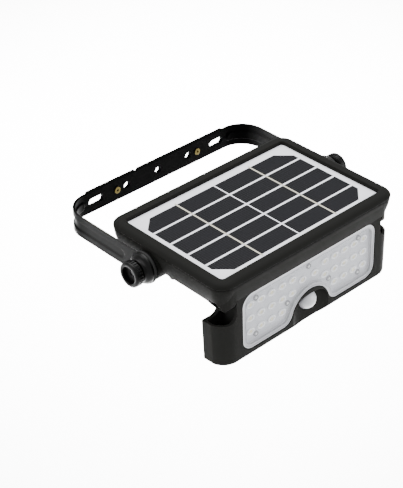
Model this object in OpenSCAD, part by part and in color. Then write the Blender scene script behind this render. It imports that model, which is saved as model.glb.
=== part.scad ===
// Solar flood light: a panel unit with a hinged lamp head, held in a clamped U bracket.
// The origin is the middle of the bracket's rear face, where it meets the wall.
// +X is to the right seen from the lamp's front, +Y goes into the wall, +Z is up.

/* [Panel unit] */
// Width of the panel unit over the bezel
unit_w = 153; // [148:1:158]
// Depth of the panel unit over the bezel
unit_d = 100.2; // [98:0.2:104]
// Radius of the unit's corners in plan
unit_r = 10; // [9:0.5:12]
// Width of the opening in the bezel
window_w = 136.4; // [134:0.2:138]
// Side wall thickness of the lower housing
wall = 2; // [1.6:0.1:2.4]

/* [Cells] */
// Width of one solar cell
cell_w = 63.2; // [60:0.1:64]
// Depth of one solar cell
cell_d = 13.5; // [12:0.1:14]
// Distance between the rows of cells
row_pitch = 15; // [14.5:0.1:15.5]
// Number of rows of cells
rows = 5; // [3:1:5]

/* [Lamp head] */
// Overall width of the lamp head
lamp_w = 152.2; // [148:0.2:153]
// Width of the lamp head's neck between the ears
neck_w = 127; // [124:1:127]
// Thickness of the lamp head, front to back
lamp_t = 16.7; // [15:0.1:17]
// Forward lean of the lamp head at its open stop
lamp_lean = 2.5; // [0:0.5:4]
// Width of the lens
lens_w = 116.8; // [112:0.2:118]
// Height of the lens
lens_h = 39.4; // [37:0.2:41]
// Distance between LED columns
led_pitch_x = 8.92; // [8.6:0.02:9]
// Distance between LED rows
led_pitch_z = 9.55; // [9.2:0.05:10]

/* [Bracket] */
// Overall width of the bracket
bracket_w = 160; // [160:1:162]
// Height of the bracket's strip
strip_h = 15.5; // [14:0.5:17]
// Thickness of the strip
strip_t = 1.5; // [1.4:0.1:1.6]
// Outer radius of the bracket's corners
bend_r = 18; // [14:1:22]
// Distance from the wall face to the tilt axis
reach = 78.8; // [76:0.2:84]
// Distance between the slots' centres
slot_spacing = 105.8; // [100:0.2:106]
// Distance between the outer round holes
hole_spacing = 54; // [50:1:56]

/* [Pivots] */
// Radius of the pivot bolt's shank
bolt_r = 2.5; // [2.4:0.1:2.6]
// Radius of the clamping knob
knob_r = 8.3; // [7.5:0.1:9]
// Radial clearance of a running fit
play = 0.05; // [0.02:0.01:0.08]

/* [Hidden] */
$fn = 48;
over = 0.5;                                  // how far a cutting shape runs past a face

// Colours
black_plastic = "#2f302c";
black_metal = "#242424";
dark_cell = "#3c3d42";
backsheet_white = "#dfe0e4";
clear_grey = "#dfe3e6";

// Panel unit places
axis_y = -reach;                             // tilt axis, which is also at z = 0
unit_y = axis_y - 12.5;                      // middle of the bezel
array_y = unit_y - 1;                        // middle of the cell array
panel_z = 12;                                // top of the laminate
bezel_top = 14.5;
bezel_low = 11.4;
case_top = 11;
case_low = -2.2;                             // lower edge of the side walls
skirt_low = 0.5;                             // lower edge of the front wall, above the lamp head
floor_z = 0.3;                               // underside of the floor
floor_t = 2;
front_y = unit_y - unit_d / 2;
laminate_w = window_w + 3;
laminate_d = unit_d - (unit_w - window_w) + 3;
laminate_t = 2;
cell_t = 0.25;
wall_in = 3.4 + wall;                        // how far the wall's inside lies inside the bezel's outside

// Hinge of the lamp head
hinge_y = axis_y - 52;
hinge_z = -3.5;
hinge_pin_r = 2;
ear_r = 6;
ear_in = neck_w / 2 + 0.7;                   // inner face of an ear
ear_out = 72.8;                              // outer face of an ear
bay_top = 7.6;                               // ceiling of the bay above the lamp head
bay_back = hinge_y + 16.5;

// Battery bay
bay_w = 112;
bay_y0 = axis_y - 7.5;
bay_y1 = axis_y + 27;
bay_low = -12;
cover_t = 1.8;
cell_r = 9.15;                               // an 18650 cell
cell_len = 65;
battery_y = (bay_y0 + bay_y1) / 2;
battery_z = -2.4;
board_y0 = unit_y - 17.5;                    // front edge of the control board
board_z = 3.6;

// Lamp head places, before the lean
lamp_front = hinge_y - 9.7;
lamp_back_y = lamp_front + lamp_t;
lamp_top = -0.35;
shoulder_z = -15.5;
lamp_low = -45;
lamp_r = 12;                                 // radius of the front corners in plan
lens_top = -0.95;
lens_low = lens_top - lens_h;
lens_front = lamp_front + 0.3;
lens_t = 1.5;
arch_r = 17;                                 // arch in the lens, over the sensor
arch_z = -39.95;
foot_r = 8;                                  // rounding where the arch meets the lens's lower edge
foot_z = lens_low + foot_r;
foot_x = sqrt(pow(arch_r + foot_r, 2) - pow(foot_z - arch_z, 2));
foot_turn = atan2(foot_z - arch_z, foot_x);
brow_w = 31.2;                               // opening of the scoop, under the black brow
brow_h = 13.7;
board_front = lamp_front + 2.9;
board_t = 1.6;
led_x0 = 14.28;
led_z0 = -10.96;                             // middle of the top row
led_pair = [5.4, -15];                       // the two LEDs over the arch
dome_z = -32.3;
dome_y = lamp_front + 4.75;                  // where the hemisphere of the sensor's lens begins
dome_r = 6.65;
board_screw_at = [[0, -7.8], [45.2, -8.2], [-45.2, -8.2], [18.5, -25.6], [-18.5, -25.6],
                  [45.5, -34], [-45.5, -34]];
led_at = concat(
  [for (side = [-1, 1], row = [0:2], col = [(row < 2 ? 0 : 1):4])
    [side * (led_x0 + led_pitch_x * col), led_z0 - led_pitch_z * row]],
  [for (side = [-1, 1]) [side * led_pair[0], led_pair[1]]]
);

// Pivot stack, outwards along X
boss_r = 9.8;
boss_out = 77;
arm_in = bracket_w / 2 - strip_t;
arm_out = bracket_w / 2;
hub_out = arm_out + 5.4;
knob_in = hub_out + 0.4;
knob_out = knob_in + 6.2;
cup_r = 5.6;
cup_d = 3.2;
plate_t = 1.2;
strip_back = -plate_t;
groove_w = 6;
groove_d = 0.9;
rivet_x = 35.3;

// Screws, button and bushes
case_screw_at = [for (sx = [-1, 1], y = [unit_y - 18, unit_y + 40]) [sx * 62, y]];
cover_screw_at = [for (sx = [-1, 1], y = [bay_y0 + 6, bay_y1 - 6]) [sx * (bay_w / 2 - 5), y]];
back_screw_at = [for (sx = [-1, 1]) each [[sx * 66, -22], [sx * 66, -39], [sx * 16, -39.5]]];
button_x = 68;
button_y = axis_y - 13.2;
button_r = 2.6;
button_low = -7;
bush_r = 2.7;

// ---------- shared shapes ----------

// Rounded rectangle with true arcs
module round_rect(w, d, r) {
  square([w - 2 * r, d], center = true);
  square([w, d - 2 * r], center = true);
  for (sx = [-1, 1], sy = [-1, 1])
    translate([sx * (w / 2 - r), sy * (d / 2 - r)]) circle(r);
}

// Slot with round ends, along the first axis
module slot(length, width) {
  square([length - width, width], center = true);
  for (s = [-1, 1]) translate([s * (length - width) / 2, 0]) circle(width / 2);
}

// Sweeps a profile round a rounded rectangle; the profile's x is the corner radius
module swept(w, d, r) {
  for (turn = [0, 180]) rotate(turn) {
    translate([w / 2 - r, 0, 0]) rotate([90, 0, 0])
      linear_extrude(d - 2 * r, center = true) children();
    rotate(90) translate([d / 2 - r, 0, 0]) rotate([90, 0, 0])
      linear_extrude(w - 2 * r, center = true) children();
    translate([w / 2 - r, d / 2 - r, 0]) rotate_extrude(angle = 90) children();
    rotate(90) translate([d / 2 - r, w / 2 - r, 0]) rotate_extrude(angle = 90) children();
  }
}

module at_unit() translate([0, unit_y, 0]) children();

// Stands a shape drawn in X and Z on the plane y, thickness towards +Y
module upright(y, t) translate([0, y + t, 0]) rotate([90, 0, 0]) linear_extrude(t) children();

// Draws a shape in Y and Z and extrudes it along X from x0 to x1
module across(x0, x1) translate([x0, 0, 0]) rotate([90, 0, 90]) linear_extrude(x1 - x0) children();

// Cylinder along +X from x0 to x1 on an axis at y, z
module rod(x0, x1, r, y = axis_y, z = 0)
  translate([x0, y, z]) rotate([0, 90, 0]) cylinder(h = x1 - x0, r = r);

// A turned shape on the tilt axis; the profile's x is the radius and its y the distance along X
module turned(side) translate([0, axis_y, 0]) rotate([0, side * 90, 0]) rotate_extrude() children();

module in_lamp() translate([0, hinge_y, hinge_z]) rotate([-lamp_lean, 0, 0])
  translate([0, -hinge_y, -hinge_z]) children();

// Countersunk or pan screw along -Z with a cross recess, its head's top at the origin
module screw(head_r, head_h, shank_r, length) {
  difference() {
    union() {
      translate([0, 0, -head_h]) cylinder(h = head_h, r = head_r);
      translate([0, 0, -length]) cylinder(h = length - head_h + 0.01, r = shank_r);
    }
    for (turn = [0, 90]) rotate(turn)
      translate([-head_r * 0.6, -head_r * 0.13, -head_h * 0.6])
        cube([head_r * 1.2, head_r * 0.26, head_h]);
  }
}

// ---------- bracket ----------

// Capsule on the arm's side face, for the groove and its ridge
module groove_capsule(side, x0, x1) {
  y0 = axis_y + 17.9 + groove_w / 2;
  y1 = strip_back - bend_r;
  across(side > 0 ? x0 : -x1, side > 0 ? x1 : -x0) {
    translate([y0, 0]) circle(groove_w / 2);
    translate([y0, -groove_w / 2]) square([y1 - y0 + 0.01, groove_w]);
  }
}

// The same groove carried round the bend
module groove_bend(side, r0, r1) translate([side * (arm_out - bend_r), strip_back - bend_r, 0])
  mirror([side < 0 ? 1 : 0, 0, 0]) rotate_extrude(angle = 78)
    translate([r0, -groove_w / 2]) square([r1 - r0, groove_w]);

module bar_holes(y0, y1) {
  for (s = [-1, 1]) translate([s * slot_spacing / 2, y1, 0]) rotate([90, 0, 0])
    linear_extrude(y1 - y0) slot(12, 5.5);
  for (x = [-hole_spacing / 2, 0, hole_spacing / 2])
    translate([x, y1, 0]) rotate([90, 0, 0]) cylinder(h = y1 - y0, r = 2.5);
  for (s = [-1, 1]) translate([s * rivet_x, y1, 0]) rotate([90, 0, 0]) cylinder(h = y1 - y0, r = 1.5);
}

module bracket() {
  bar_in = strip_back - strip_t;
  color(black_metal) difference() {
    union() {
      translate([-arm_out + bend_r, bar_in, -strip_h / 2])
        cube([2 * (arm_out - bend_r), strip_t, strip_h]);
      for (side = [-1, 1]) mirror([side < 0 ? 1 : 0, 0, 0]) {
        translate([arm_out - bend_r, strip_back - bend_r, 0]) rotate_extrude(angle = 90)
          translate([bend_r - strip_t, -strip_h / 2]) square([strip_t, strip_h]);
        translate([arm_in, axis_y, -strip_h / 2])
          cube([strip_t, strip_back - bend_r - axis_y, strip_h]);
        rod(arm_in, arm_out, 10.5);
      }
      for (side = [-1, 1]) {
        groove_capsule(side, arm_in - groove_d, arm_in + 0.1);
        groove_bend(side, bend_r - strip_t - groove_d, bend_r - strip_t + 0.1);
      }
    }
    for (side = [-1, 1]) {
      groove_capsule(side, arm_out - groove_d, arm_out + over);
      groove_bend(side, bend_r - groove_d, bend_r + over);
      mirror([side < 0 ? 1 : 0, 0, 0]) rod(arm_in - over, arm_out + over, bolt_r + play);
    }
    bar_holes(bar_in - over, strip_back + over);
  }
}

module backing_plate() color(black_metal) difference() {
  upright(strip_back, plate_t) round_rect(119.5, strip_h, 1.2);
  bar_holes(strip_back - over, over);
  translate([-18, over, strip_h / 2]) rotate([90, 0, 0]) cylinder(h = plate_t + 2 * over, r = 1.4);
}

// Tubular rivets that hold the plate to the bar
module plate_rivets() color("#9a7412") for (s = [-1, 1])
  translate([s * rivet_x, 0, 0]) rotate([90, 0, 0]) difference() {
    union() {
      cylinder(h = plate_t + strip_t, r = 1.5);
      translate([0, 0, plate_t + strip_t]) cylinder(h = 0.6, r = 2.3);
    }
    translate([0, 0, -over]) cylinder(h = 5, r = 0.9);
  }

// Domed washer between the arm and the knob
module hub(side) color(black_plastic) turned(side) polygon([
  [bolt_r + play, arm_out], [10, arm_out], [10, arm_out + 1.6],
  for (a = [0:15:75]) [7.4 + 2.2 * cos(a), arm_out + 1.8 + (hub_out - arm_out - 1.8) * sin(a)],
  [7, hub_out], [bolt_r + play, hub_out]
]);

// ---------- panel unit ----------

module bezel() {
  lip = unit_r - (unit_w - window_w) / 2;
  color(black_plastic) at_unit() difference() {
    swept(unit_w, unit_d, unit_r) polygon([
      [lip, panel_z + 0.1], [lip + 0.5, bezel_top],
      for (a = [0:10:90]) [5 + 5 * sin(a), bezel_low + 0.3 + (bezel_top - bezel_low - 0.3) * cos(a)],
      [10, bezel_low], [7.6, bezel_low], [7.6, 9.6], [6.4, 9.6],
      [6.4, panel_z - laminate_t], [lip + 1.6, panel_z - laminate_t], [lip + 1.6, panel_z + 0.1]
    ]);
  }
}

// White laminate the cells lie on, with a shallow pocket for each cell and ribbon
module solar_backsheet() color(backsheet_white) difference() {
  translate([0, unit_y, panel_z - laminate_t]) linear_extrude(laminate_t) round_rect(laminate_w, laminate_d, 3);
  translate([0, 0, panel_z - cell_t]) linear_extrude(cell_t + over) {
    all_cells();
    all_ribbons();
  }
}

// One cell; the corner cells lose their outer corner
module cell_outline(corner_x, corner_y) {
  cut = 9.6;
  w = cell_w / 2;
  d = cell_d / 2;
  polygon([
    each corner_x < 0 && corner_y < 0 ? [[-w, -d + cut * 0.94], [-w + cut, -d]] : [[-w, -d]],
    each corner_x > 0 && corner_y < 0 ? [[w - cut, -d], [w, -d + cut * 0.94]] : [[w, -d]],
    each corner_x > 0 && corner_y > 0 ? [[w, d - cut * 0.94], [w - cut, d]] : [[w, d]],
    each corner_x < 0 && corner_y > 0 ? [[-w + cut, d], [-w, d - cut * 0.94]] : [[-w, d]]
  ]);
}

module all_cells() difference() {
  for (side = [-1, 1], row = [0:rows - 1])
    translate([side * (cell_w + 0.9) / 2, array_y + (row - (rows - 1) / 2) * row_pitch])
      cell_outline(side, row == 0 ? -1 : (row == rows - 1 ? 1 : 0));
  all_ribbons();
}

// Tinned ribbons that join the rows, one down the middle of each column
module all_ribbons() for (side = [-1, 1])
  translate([side * (cell_w + 0.9) / 2, array_y]) square([1.2, rows * row_pitch + 1.6], center = true);

module solar_cells() color(dark_cell) translate([0, 0, panel_z - cell_t])
  linear_extrude(cell_t) all_cells();

module cell_ribbons() color("#c9c5ad") translate([0, 0, panel_z - cell_t])
  linear_extrude(cell_t) all_ribbons();

// Foam frame that presses the laminate up into the bezel
module panel_gasket() color("#1c1c1c") translate([0, unit_y, panel_z - laminate_t - 0.8]) linear_extrude(0.8)
  difference() {
    round_rect(laminate_w, laminate_d, 3);
    round_rect(laminate_w - 8, laminate_d - 8, 2);
  }

// Outside of the side wall, bowed inwards towards its lower edge
function wall_bow(z) = 9.8 - 3.2 * pow((case_top - z) / (case_top - case_low), 1.6);

module lower_wall() at_unit() swept(unit_w, unit_d, unit_r) polygon([
  for (i = [0:8]) [wall_bow(case_top - i * (case_top - case_low) / 8), case_top - i * (case_top - case_low) / 8],
  for (i = [8:-1:0]) [wall_bow(case_top - i * (case_top - case_low) / 8) - wall,
                      case_top - i * (case_top - case_low) / 8]
]);

// Side view of an ear: the hinge lobe, with its edges rising to the front and side walls
module ear_side() {
  translate([hinge_y, hinge_z]) circle(ear_r);
  polygon([
    [front_y + 0.6, 7.5], [front_y + 0.6, 0.2], [front_y + 0.9, -1.8], [front_y + 1.8, -3.8],
    [front_y + 3.4, -5.9], [hinge_y - 4.2, hinge_z - 4.3], [hinge_y + 4.2, hinge_z - 4.3],
    [hinge_y + 7.4, hinge_z + 0.5], [hinge_y + 10.8, hinge_z + 1], [hinge_y + 15, hinge_z + 1.4],
    [hinge_y + 18, 3], [hinge_y + 6, 7.5]
  ]);
}

// Half width over the ears, which bow inwards towards the hinge
function ear_bow(drop) = ear_out - 4.8 * pow(drop / 8, 1.3);

module ear_front() polygon([
  [-ear_out, 9], for (drop = [0:1.7:8.6]) [-ear_bow(drop), -1 - drop],
  for (drop = [8.5:-1.7:-0.1]) [ear_bow(max(0, drop)), -1 - drop], [ear_out, 9]
]);

module ears() intersection() {
  translate([0, unit_y, -12]) linear_extrude(20) round_rect(2 * ear_out, unit_d - 1.2, 9.4);
  upright(front_y, unit_d) ear_front();
  union() {
    for (side = [-1, 1]) mirror([side < 0 ? 1 : 0, 0, 0]) across(ear_in, ear_out + 1) ear_side();
    translate([-ear_in - 1, front_y, skirt_low]) cube([2 * ear_in + 2, 2.4, 7]);
  }
}

module floor_outline(inset) translate([0, unit_y]) round_rect(unit_w - 2 * inset, unit_d - 2 * inset, unit_r - 4);

// Front room for the turning neck of the lamp head
module hinge_bay_room() {
  y0 = front_y + 1.9;
  translate([-ear_in, y0, -3]) cube([2 * ear_in, bay_back - y0, bay_top + 3]);
}

module lower_housing() {
  color(black_plastic) difference() {
    union() {
      lower_wall();
      ears();
      translate([0, 0, floor_z]) linear_extrude(floor_t) floor_outline(3.6);
      // walls and ceiling of the bay above the lamp head
      translate([-ear_out + 2, bay_back, floor_z]) cube([2 * ear_out - 4, 1.5, 9 - floor_z]);
      translate([-ear_out + 2, front_y + 1.9, bay_top])
        cube([2 * ear_out - 4, bay_back - front_y, 1.4]);
      for (side = [-1, 1]) translate([side * (ear_in + 0.75) - 0.75, front_y + 1.9, 1])
        cube([1.5, bay_back - front_y - 1, 8]);
      // battery bay
      translate([-bay_w / 2, bay_y0, bay_low]) cube([bay_w, bay_y1 - bay_y0, floor_z - bay_low + 0.1]);
      // pivot bosses
      intersection() {
        for (side = [-1, 1]) mirror([side < 0 ? 1 : 0, 0, 0]) rod(bay_w / 2 - 1, boss_out, boss_r);
        translate([-boss_out, axis_y - 15, -15]) cube([2 * boss_out, 30, 24]);
      }
      // screw bosses
      for (p = case_screw_at) translate([p[0], p[1], floor_z]) cylinder(h = 9 - floor_z, r = 3.2);
    }
    hinge_bay_room();
    // front wall ends a little higher than the side walls
    translate([-ear_in, front_y - 1, -3]) cube([2 * ear_in, 8, 3 + skirt_low]);
    // inside of the battery bay
    translate([-bay_w / 2 + 1.8, bay_y0 + 1.8, bay_low - over])
      cube([bay_w - 3.6, bay_y1 - bay_y0 - 3.6, floor_z + floor_t - bay_low + 2 * over]);
    // pivot bolts, with a hexagonal pocket for the head
    for (side = [-1, 1]) mirror([side < 0 ? 1 : 0, 0, 0]) {
      rod(bay_w / 2 - 3, boss_out + over, bolt_r);
      translate([bay_w / 2 - 3, axis_y, 0]) rotate([0, 90, 0]) cylinder(h = 7, r = 4.7, $fn = 6);
    }
    // hinge screws: head recess, shank hole
    for (side = [-1, 1]) mirror([side < 0 ? 1 : 0, 0, 0]) {
      rod(ear_in - 1, ear_out + 1, hinge_pin_r, hinge_y, hinge_z);
      rod(ear_out - 5.8, ear_out + 1, 4.1, hinge_y, hinge_z);
    }
    for (p = case_screw_at) translate([p[0], p[1], 0]) {
      translate([0, 0, -2]) cylinder(h = 12, r = 1.3);
      translate([0, 0, -2]) cylinder(h = 4.2, r = 2.5);
    }
    // power button
    translate([-button_x, button_y, -1]) cylinder(h = 4, r = button_r + 0.35);
    // drain and cable passage to the lamp head
    translate([20, bay_back - 1, 4]) rotate([-90, 0, 0]) cylinder(h = 4, r = 2);
  }
}

// Cord seal in the groove between the bezel and the lower housing
module case_seal() color("#101010") at_unit() swept(unit_w, unit_d, unit_r)
  translate([7.8, case_top]) square([0.9, bezel_low - case_top]);

module case_screws() color("#55575a") for (p = case_screw_at)
  translate([p[0], p[1], 2.2 - 1.8]) mirror([0, 0, 1]) screw(2.3, 1.8, 1.3, 8);

module battery_cell() color("#3f7fa8") {
  rod(-cell_len / 2, cell_len / 2 - 1.2, cell_r, battery_y, battery_z);
  rod(cell_len / 2 - 1.3, cell_len / 2, 3, battery_y, battery_z);
}

module battery_holder() color("#20211f") difference() {
  translate([-cell_len / 2 - 4, battery_y - cell_r - 1.2, bay_low])
    cube([cell_len + 8, 2 * cell_r + 2.4, cell_r + 1]);
  rod(-cell_len / 2 - play, cell_len / 2 + play, cell_r + play, battery_y, battery_z);
}

module battery_cover() color(black_plastic) difference() {
  translate([0, (bay_y0 + bay_y1) / 2, bay_low - cover_t]) linear_extrude(cover_t)
    round_rect(bay_w, bay_y1 - bay_y0, 3);
  for (p = cover_screw_at) translate([p[0], p[1], bay_low - cover_t - over]) {
    cylinder(h = cover_t + 2 * over, r = 1.1);
    cylinder(h = over + 0.9, r = 2.1);
  }
}

module battery_cover_screws() color("#55575a") for (p = cover_screw_at)
  translate([p[0], p[1], bay_low - cover_t + 0.1]) mirror([0, 0, 1]) screw(2, 0.8, 1.1, 6);

module control_board() color("#1d5a34") difference() {
  translate([-44, board_y0, board_z]) cube([88, 18, board_t]);
  for (s = [-1, 1]) translate([s * 40, board_y0 + 9, board_z - 1]) cylinder(h = 4, r = 1.3);
}

// Controller, coil, electrolytic capacitor and the four charging transistors
module board_parts() color("#1a1a1c") translate([0, board_y0, board_z + board_t]) {
  translate([-30, 4, 0]) cube([9, 7, 1.4]);
  translate([-14, 5, 0]) cube([7, 7, 2.8]);
  translate([6, 9, 0]) cylinder(h = 3.2, r = 3.2);
  for (x = [14, 19, 24, 29]) translate([x, 6, 0]) cube([3, 5, 1.1]);
}

module power_switch() color("#b9bbbd")
  translate([-button_x - 2.8, button_y - 2.8, 4.8]) cube([5.6, 5.6, 2.6]);

module power_button() color("#161616") translate([-button_x, button_y, 0]) {
  translate([0, 0, button_low]) cylinder(h = 3.4 - button_low, r = button_r);
  translate([0, 0, 2.6]) cylinder(h = 0.8, r = button_r + 0.7);
}

// Hexagonal head inside the boss, shank out to the knob
module pivot_bolt(side) color("#8d9093") mirror([side < 0 ? 1 : 0, 0, 0]) {
  rod(bay_w / 2 + 0.5, knob_out - cup_d - 0.6, bolt_r);
  translate([bay_w / 2 + 0.5, axis_y, 0]) rotate([0, 90, 0]) cylinder(h = 3.5, r = 4.6, $fn = 6);
}

module friction_washers() color("#181818") for (side = [-1, 1]) mirror([side < 0 ? 1 : 0, 0, 0])
  difference() {
    rod(boss_out, arm_in - 0.2, 9.2);
    rod(boss_out - over, arm_in, bolt_r);
  }

module knob(side) color(black_plastic) turned(side) polygon([
  [4.2, knob_in + 0.2], [6.4, knob_in], [7.2, knob_in + 0.8], [knob_r, knob_in + 1.4],
  [knob_r, knob_out - 1], [knob_r - 1, knob_out], [cup_r + 0.4, knob_out], [cup_r, knob_out - 0.4],
  [cup_r, knob_out - cup_d], [4.2, knob_out - cup_d]
]);

// Threaded brass sleeve moulded into the knob
module knob_insert(side) color("#a88a3a") turned(side) polygon([
  [bolt_r + play, knob_in + 0.2], [4.2, knob_in + 0.2], [4.2, knob_out - cup_d], [bolt_r + play, knob_out - cup_d]
]);

module hinge_screws() color("#6b6e70") for (side = [-1, 1]) mirror([side < 0 ? 1 : 0, 0, 0]) {
  difference() {
    rod(ear_out - 5.8, ear_out - 4.4, 3.5, hinge_y, hinge_z);
    translate([ear_out - 5.2, hinge_y - 0.4, hinge_z - 2]) cube([2, 0.8, 4]);
    translate([ear_out - 5.2, hinge_y - 2, hinge_z - 0.4]) cube([2, 4, 0.8]);
  }
  rod(neck_w / 2 - 7, ear_out - 5.8, hinge_pin_r, hinge_y, hinge_z);
}

// ---------- lamp head ----------

// One rounded foot of the arch
function foot(side, grow) = [for (i = [0:10])
  let (a = 270 - (side > 0 ? i : 10 - i) * (90 - foot_turn) / 10)
    [side * (foot_x + (foot_r - grow) * cos(a)), foot_z + (foot_r - grow) * sin(a)]];

// Region under the arch: most of a half circle, with flared feet
module arch(grow = 0) polygon([
  each foot(1, grow),
  for (i = [1:31]) let (a = foot_turn + i * (180 - 2 * foot_turn) / 32)
    [(arch_r + grow) * cos(a), arch_z + (arch_r + grow) * sin(a)],
  each foot(-1, grow),
  [-foot_x, lens_low - 4], [foot_x, lens_low - 4]
]);

module lens_outline(inset = 0) difference() {
  translate([0, lens_top - lens_h / 2]) round_rect(lens_w - 2 * inset, lens_h - 2 * inset, 8 - inset);
  arch(inset);
}

// The board is the lens's outline without the strip under the head's top wall
module board_outline() intersection() {
  lens_outline(0.6);
  translate([-lens_w / 2, lamp_low]) square([lens_w, lamp_top - 2.2 - lamp_low]);
}

// Plan of the lamp head: large front corners that meet the flat sides at a slight edge
module lamp_plan(inset = 0) {
  w = lamp_w / 2 - inset;
  x0 = lamp_w / 2 + 0.4 - lamp_r;
  y0 = lamp_front + lamp_r;
  intersection() {
    translate([-w, lamp_front]) square([2 * w, lamp_t + 1]);
    union() {
      translate([-w, y0]) square([2 * w, lamp_t]);
      translate([-x0, lamp_front + inset]) square([2 * x0, lamp_r]);
      for (s = [-1, 1]) translate([s * x0, y0]) circle(lamp_r - inset);
    }
  }
}

// Front view of the lamp head: neck between the ears, scooped shoulders, rounded lower corners
module lamp_front_view(inset = 0) difference() {
  translate([-lamp_w / 2 + inset, lamp_low + inset]) square([lamp_w - 2 * inset, lamp_top - lamp_low - 2 * inset]);
  for (side = [-1, 1]) {
    translate([side * (neck_w / 2 + 6 - inset), shoulder_z + 6 - inset]) circle(6);
    translate([side > 0 ? neck_w / 2 - inset : -neck_w / 2 - 20 + inset, shoulder_z + 6 - inset]) square([20, 20]);
    translate([side > 0 ? neck_w / 2 + 6 - inset : -neck_w / 2 - 26 + inset, shoulder_z - inset]) square([20, 20]);
  }
}

module lamp_shell(inset, y0, y1) intersection() {
  translate([0, 0, lamp_low]) linear_extrude(lamp_top - lamp_low) lamp_plan(inset);
  upright(y0, y1 - y0) lamp_front_view(inset);
}

// Opening of the scoop, flatter than the arch so that a black brow is left
module brow() {
  polygon([for (i = [-16:16]) let (x = i / 16 * 0.999)
    [x * brow_w / 2, arch_z + brow_h * pow(1 - pow(abs(x), 2.6), 1 / 2.6)]]);
  translate([-brow_w / 2, lamp_low - 1]) square([brow_w, arch_z - lamp_low + 1.01]);
}

// Sloping scoop that the sensor looks out of
module sensor_scoop() intersection() {
  upright(lamp_front - over, 8) brow();
  across(-brow_w / 2, brow_w / 2) polygon([
    [lamp_front - over, arch_z + brow_h], [lamp_front + 5.2, arch_z + brow_h],
    [dome_y - 0.2, dome_z], [lamp_front + 1.8, lamp_low - over], [lamp_front - over, lamp_low - over]
  ]);
}

module lamp_housing() {
  color(black_plastic) in_lamp() difference() {
    union() {
      difference() {
        lamp_shell(0, lamp_front, lamp_back_y);
        lamp_shell(2, lamp_front + 2.4, lamp_back_y + over);
      }
      // solid block behind the scoop
      intersection() {
        upright(lamp_front + 1, 7.5) arch(0.4);
        lamp_shell(1, lamp_front, lamp_back_y);
      }
      for (p = back_screw_at) translate([p[0], lamp_front + 2, p[1]]) rotate([-90, 0, 0])
        cylinder(h = lamp_t - 4.6, r = 2.3);
      // hinge blocks at the ends of the neck
      for (side = [-1, 1]) rod(side > 0 ? neck_w / 2 - 9 : -neck_w / 2, side > 0 ? neck_w / 2 : 9 - neck_w / 2,
        3.1, hinge_y, hinge_z);
    }
    upright(lamp_front - over, 4) lens_outline(-0.15);
    sensor_scoop();
    translate([0, dome_y - 3, dome_z]) rotate([-90, 0, 0]) cylinder(h = 4, r = dome_r + 0.05);
    translate([0, dome_y, dome_z]) rotate([-90, 0, 0]) cylinder(h = 9, r = dome_r - 0.8);
    for (p = back_screw_at) translate([p[0], lamp_front + 6, p[1]]) rotate([-90, 0, 0]) cylinder(h = 14, r = 1);
    for (side = [-1, 1]) mirror([side < 0 ? 1 : 0, 0, 0])
      rod(neck_w / 2 - 10, neck_w / 2 + 1, bush_r + 0.05, hinge_y, hinge_z);
    // open shoulders under the ears
    for (side = [-1, 1]) translate([0, 0, shoulder_z - 2.5]) linear_extrude(8.2) intersection() {
      lamp_plan(2);
      translate([side > 0 ? neck_w / 2 - 2.5 : -lamp_w / 2, lamp_front])
        square([(lamp_w - neck_w) / 2 + 2.5, lamp_t - 2.8]);
    }
  }
}

// Rear plate, let into the back of the housing
module lamp_back() color(black_plastic) in_lamp() difference() {
  lamp_shell(2.15, lamp_back_y - 2.4, lamp_back_y - 0.2);
  for (p = back_screw_at) translate([p[0], lamp_back_y - 3, p[1]]) rotate([-90, 0, 0]) {
    cylinder(h = 4, r = 1);
    translate([0, 0, 1.7]) cylinder(h = 3, r = 2);
  }
}

module lamp_back_screws() color("#55575a") in_lamp() for (p = back_screw_at)
  translate([p[0], lamp_back_y - 0.35, p[1]]) rotate([-90, 0, 0]) screw(1.8, 0.9, 1, 7);

module lens() color(clear_grey, 0.5) in_lamp() upright(lens_front, lens_t) lens_outline();

module lens_gasket() color("#d8dadb") in_lamp() upright(lens_front + lens_t, 1.1) difference() {
  lens_outline(0.4);
  lens_outline(2.4);
}

module led_board() color("#eef0f2") in_lamp() difference() {
  upright(board_front, board_t) board_outline();
  for (p = board_screw_at) translate([p[0], board_front - over, p[1]]) rotate([-90, 0, 0])
    cylinder(h = board_t + 2 * over, r = 1.3);
}

module led_chips() color("#e9e2a8") in_lamp() for (p = led_at)
  translate([p[0] - 1.4, board_front - 0.65, p[1] - 1.75]) cube([2.8, 0.65, 3.5]);

module led_board_screws() color("#9a9da0") in_lamp() for (p = board_screw_at)
  translate([p[0], board_front - 0.7, p[1]]) rotate([90, 0, 0]) screw(1.9, 0.7, 1.3, 4.5);

// Aluminium plate that carries the heat away from the LED board
module heat_spreader() color("#b5b8ba") in_lamp() difference() {
  upright(board_front + board_t, 1.5) board_outline();
  for (p = board_screw_at) translate([p[0], board_front, p[1]]) rotate([-90, 0, 0]) cylinder(h = 6, r = 1.3);
}

module hinge_bushes() color("#c8c3b4") for (side = [-1, 1]) mirror([side < 0 ? 1 : 0, 0, 0]) difference() {
  rod(neck_w / 2 - 8, neck_w / 2 + 0.3, bush_r, hinge_y, hinge_z);
  rod(neck_w / 2 - 9, neck_w / 2 + 1, hinge_pin_r + play, hinge_y, hinge_z);
}

module sensor_dome() color("#c4c5ca") in_lamp() translate([0, dome_y, dome_z]) rotate([90, 0, 0])
  rotate_extrude() difference() {
    union() {
      intersection() {
        circle(dome_r);
        square([dome_r, dome_r]);
      }
      translate([0, -1]) square([dome_r, 1.01]);
    }
    intersection() {
      circle(dome_r - 0.8);
      square([dome_r, dome_r]);
    }
    translate([0, -2]) square([dome_r - 0.8, 2.02]);
  }

module sensor_can() color("#a9abad") in_lamp() translate([0, dome_y + 4, dome_z]) rotate([90, 0, 0])
  cylinder(h = 4.2, r = 4.1);

module sensor_board() color("#1d5a34") in_lamp() translate([-12, dome_y + 4, dome_z - 9]) cube([24, 1.2, 18]);

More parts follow.
